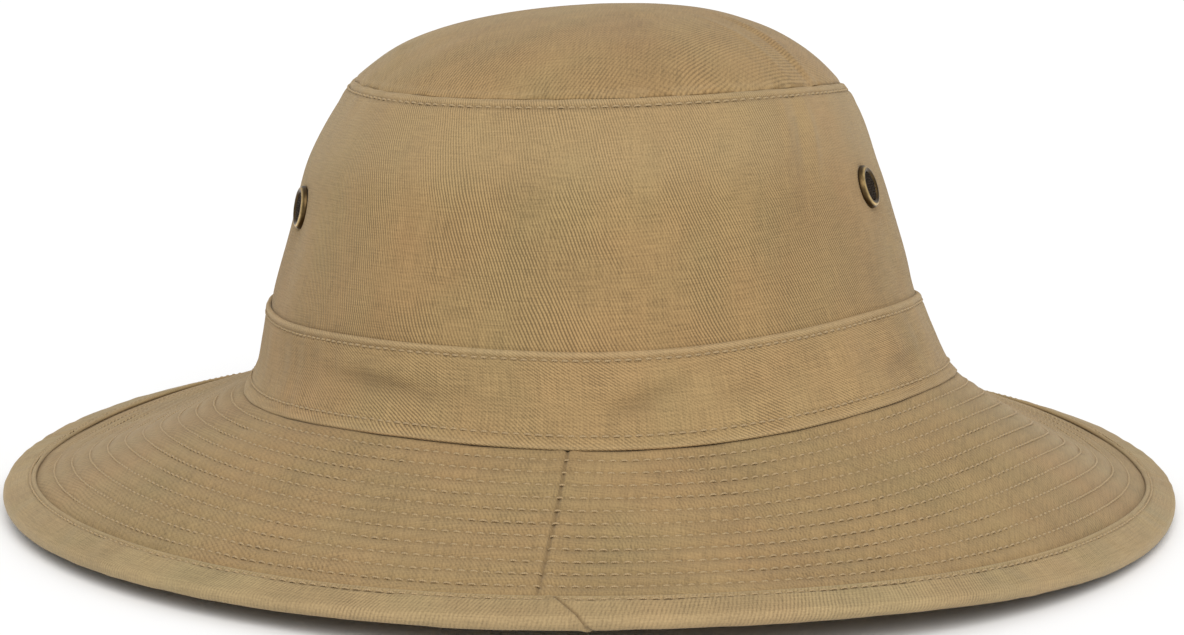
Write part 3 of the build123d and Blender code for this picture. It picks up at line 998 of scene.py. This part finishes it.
def brim_ply(name, node, upper, material):
    """The upper or the under cloth of the brim."""
    t = refined(evenly(HALF_WIDTH + 30, 760), 267.0, 272.0)
    along = brim_stations()
    A, T = np.meshgrid(along, t, indexing="ij")
    quilted = np.where(A > 0, quilting(T, A, 71 if upper else 72), 0.0)
    lift = quilted if upper else -BRIM_PLY - quilted
    points = brim(T, A, lift)
    row = np.round(A / ROW_PITCH)
    gap = np.abs(A - row * ROW_PITCH)
    # Painted highlight on the puffs between rows, partly real use on their crests.
    wear_and_highlight = 0.35 * bell(gap - ROW_PITCH / 2, 1.2) * (0.5 + 0.5 * cloth_noise(T, A, 30, 75))
    seam = np.abs(seam_distance(T, A))
    # Painted shade in the row grooves, along the radial seam and at the foot of the brim under the band.
    painted_shade = 0.35 * bell(gap, 0.6) + 0.8 * bell(seam, 0.35)
    painted_shade = painted_shade + 0.4 * np.exp(-np.maximum(A, 0) / 1.2)
    faces, cr, cc = grid_faces(len(along), len(t), True, flip=upper)
    plan = points[..., :2]
    uv = plan[cr, cc % len(t)]
    piece = make_mesh(name, points, [faces], [uv], {"wear_and_highlight": wear_and_highlight, "painted_shade": painted_shade})
    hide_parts(node)
    return dress(piece, material)


def brim_face(upper, proud):
    """A surface(t, along) proud mm out of one face of the brim; the under face runs the other way."""
    side, lift = (1, proud) if upper else (-1, -BRIM_PLY - proud)
    return lambda t, along: brim(t * side, along, lift)


def brim_stitches():
    """All the rows, above and below."""
    for name, upper in (("brim_rows_top", True), ("brim_rows_under", False)):
        surface = brim_face(upper, -PUFF)
        runs = [row_of_stitches(surface, (k + 1) * ROW_PITCH, HALF_WIDTH + 0.85 * (k + 1) * ROW_PITCH,
                                start=0.004 * k) for k in range(ROWS)]
        runs = [(a, b, -n) for a, b, n in runs]
        thread_dashes(name, runs)


def binding_section():
    """(along, lift) round the folded binding, from its upper edge over the rim to its under edge."""
    fold = [(0.35, -0.35), (-0.02, -0.1), (-0.1, 0.25), (0.08, 0.55), (0.4, 0.68)]
    top = [(BINDING_EDGE + s, lift) for s, lift in fold]
    face = [(s, 0.7) for s in np.linspace(BINDING_EDGE + 0.8, BRIM_SLANT - 1.6, 18)]
    half = BRIM_PLY / 2 + BINDING_PLY
    round_rim = [(BRIM_SLANT - 1.5 + 1.5 * math.sin(a), -BRIM_PLY / 2 + half * math.cos(a))
                 for a in np.linspace(0.12, math.pi - 0.12, 15)]
    under = [(s, -BRIM_PLY - lift) for s, lift in reversed(top + face)]
    return np.array(top + face + round_rim + under)


def brim_binding():
    """The folded binding round the rim, with its stitches."""
    section = binding_section()
    t = refined(evenly(HALF_WIDTH + 55, 1100), 269.5, 276.5)
    A, T = np.meshgrid(section[:, 0], t, indexing="ij")
    lift = section[:, 1:] + 0 * T
    side = np.sign(lift + BRIM_PLY / 2)
    arc = arc_length(T, HALF_WIDTH + 55)
    across = lengths_along(section)[:, None] + 0 * T
    body = smooth((A - BINDING_EDGE) / 0.8)
    out = groove(A - BINDING_STITCH, 0.32, 0.45)
    pull = soft_noise(((arc - 0.9 * across) / 5.2), across / 40 + 5, 81, 4096)
    out = out + body * 0.14 * pull + body * 0.16 * cloth_noise(T, across * 0.6, 13, 82)
    join = angle_gap(T, BINDING_JOINT) * (HALF_WIDTH + 60) - 0.69 * across
    out = out + body * (groove(join, 0.6, 0.3) + 0.4 * bell(join + 1.0, 1.0))
    lift = lift + side * out
    points = brim(T, A, lift)
    wear_and_highlight = 0.75 * bell(A - BRIM_SLANT, 1.3) + 0.5 * bell(A - BINDING_EDGE, 0.6)
    # Painted shade in the stitch groove and along the slanting joint where its fold overlaps.
    painted_shade = 0.6 * bell(A - BINDING_STITCH, 0.4) + 1.3 * bell(join, 0.4)
    uv = strip_uv(t, lengths_along(section), HALF_WIDTH + 55)
    piece = swept("brim_binding_cloth", points, t, flip=True, uv=uv, marks={"wear_and_highlight": wear_and_highlight, "painted_shade": painted_shade})
    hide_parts("brim_binding")
    dress(piece, M_BINDING)
    runs = []
    for upper in (True, False):
        a, b, n = row_of_stitches(brim_face(upper, 0.42), BINDING_STITCH, HALF_WIDTH + 52)
        runs.append((a, b, -n))
    thread_dashes("binding_stitches", runs)


def interlining():
    """The stiff layer between the two cloths, which hide it."""
    t = evenly(HALF_WIDTH + 30, 240)
    # corners at 0 keep the layer in the brim's bend at the seam, clear of the cloth below it
    section = np.array(rounded([(-3.5, -0.95), (0, -0.95), (BRIM_SLANT - 2, -0.95),
                                (BRIM_SLANT - 2, -1.3), (0, -1.3), (-3.5, -1.3)], 12))
    A, T = np.meshgrid(section[:, 0], t, indexing="ij")
    points = brim(T, A, section[:, 1:] + 0 * T)
    across = np.arange(len(section)) * 2.0
    piece = swept("brim_stiffener", points, t, True, uv=strip_uv(t, across),
                  marks={"painted_shade": 0 * T, "wear_and_highlight": 0 * T})
    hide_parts("brim_interlining")
    dress(piece, M_STIFF)


# ---- Build ----
crown_tip()
crown_wall("crown_wall_front_cloth", 0, "crown_wall_front")
crown_wall("crown_wall_back_cloth", 180, "crown_wall_back")
crown_runs = hat_band()
crown_runs.append(row_of_stitches(lambda t, h: crown(t, h, 0.02), TIP_STITCH, wall_curve(TIP_STITCH)))
thread_dashes("crown_stitches", crown_runs)
thread_dashes("sweatband_stitches", sweatband())
inner_strip("tip_tape", "tip_seam_tape", 0, 359.4, WALL_HEIGHT - 8.6, WALL_HEIGHT - 0.6,
            DRILL + 0.15, 0.5, M_TAPE, 480)
for side_name, angle in (("left", 180), ("right", 0)):
    inner_strip("side_tape_" + side_name, "side_seam_tape_" + side_name, angle - 4, angle + 4,
                SWEATBAND_HEIGHT - 4, WALL_HEIGHT - 9, DRILL + 0.15, 0.5, M_TAPE, 20)
inner_strip("blank_label", "size_label", 263, 277, 1.2, 15, SWEATBAND_INSET + SWEATBAND_PLY + 0.35,
            0.35, M_LABEL, 36, 0.5)
for where, (angle, height) in VENTS.items():
    place = vent_place(angle, height)
    eyelet(place, where)
    washer(place, where)
    vent_screen(place, where)
brim_ply("brim_top_cloth", "brim_top", True, M_BRIM)
brim_ply("brim_under_cloth", "brim_under", False, M_UNDER)
interlining()
brim_stitches()
brim_binding()


# ---- Stage, light and camera ----
def stage_floor():
    mesh = bpy.data.meshes.new("floor")
    half = 4.0
    corners = [(-half, -half, 0), (half, -half, 0), (half, half, 0), (-half, half, 0)]
    mesh.from_pydata(corners, [], [(0, 1, 2, 3)])
    floor = bpy.data.objects.new("floor", mesh)
    bpy.context.collection.objects.link(floor)
    g = Graph("floor_paper")
    g.set(Base_Color=(0.93, 0.93, 0.93, 1), Roughness=0.9)
    mesh.materials.append(g.material)


def sun_light(name, direction, softness, power):
    """A sun from a direction; softness is its angle in degrees."""
    data = bpy.data.lights.new(name, "SUN")
    data.angle, data.energy = math.radians(softness), power
    light = bpy.data.objects.new(name, data)
    light.rotation_euler = Vector(direction).to_track_quat("Z", "Y").to_euler()
    bpy.context.collection.objects.link(light)


def camera():
    """The photograph's view: from behind the hat, a little to its right and above it."""
    turn, dip = math.radians(5.0), math.radians(6.59)   # round the hat, and down from level
    away, aside, height = 900.0, -2.37, 119.3           # mm from the crown seam's middle
    spin = Matrix.Rotation(turn, 3, "Z")
    place_mm = spin @ Vector((aside, -away, height))
    look = spin @ Vector((0, math.cos(dip), -math.sin(dip)))
    up = spin @ Vector((0, math.sin(dip), math.cos(dip)))
    right = look.cross(up)
    axes = leaned(np.array([right, up, -look]))
    matrix = Matrix(axes.tolist()).transposed().to_4x4()
    matrix.translation = Vector(placed(np.array(place_mm))[0])
    data = bpy.data.cameras.new("camera")
    data.sensor_width = 36.0
    data.lens = 110.6
    data.clip_end = 50
    cam = bpy.data.objects.new("camera", data)
    cam.matrix_world = matrix
    bpy.context.collection.objects.link(cam)
    bpy.context.scene.camera = cam


def world_light():
    world = bpy.data.worlds.new("studio")
    world.use_nodes = True
    world.node_tree.nodes["Background"].inputs[0].default_value = (1, 1, 1, 1)
    world.node_tree.nodes["Background"].inputs[1].default_value = 0.68
    bpy.context.scene.world = world


stage_floor()
world_light()
sun_light("key", (0.15, -0.88, 0.78), 50, 2.2)
camera()
bpy.context.scene.view_settings.view_transform = "Standard"
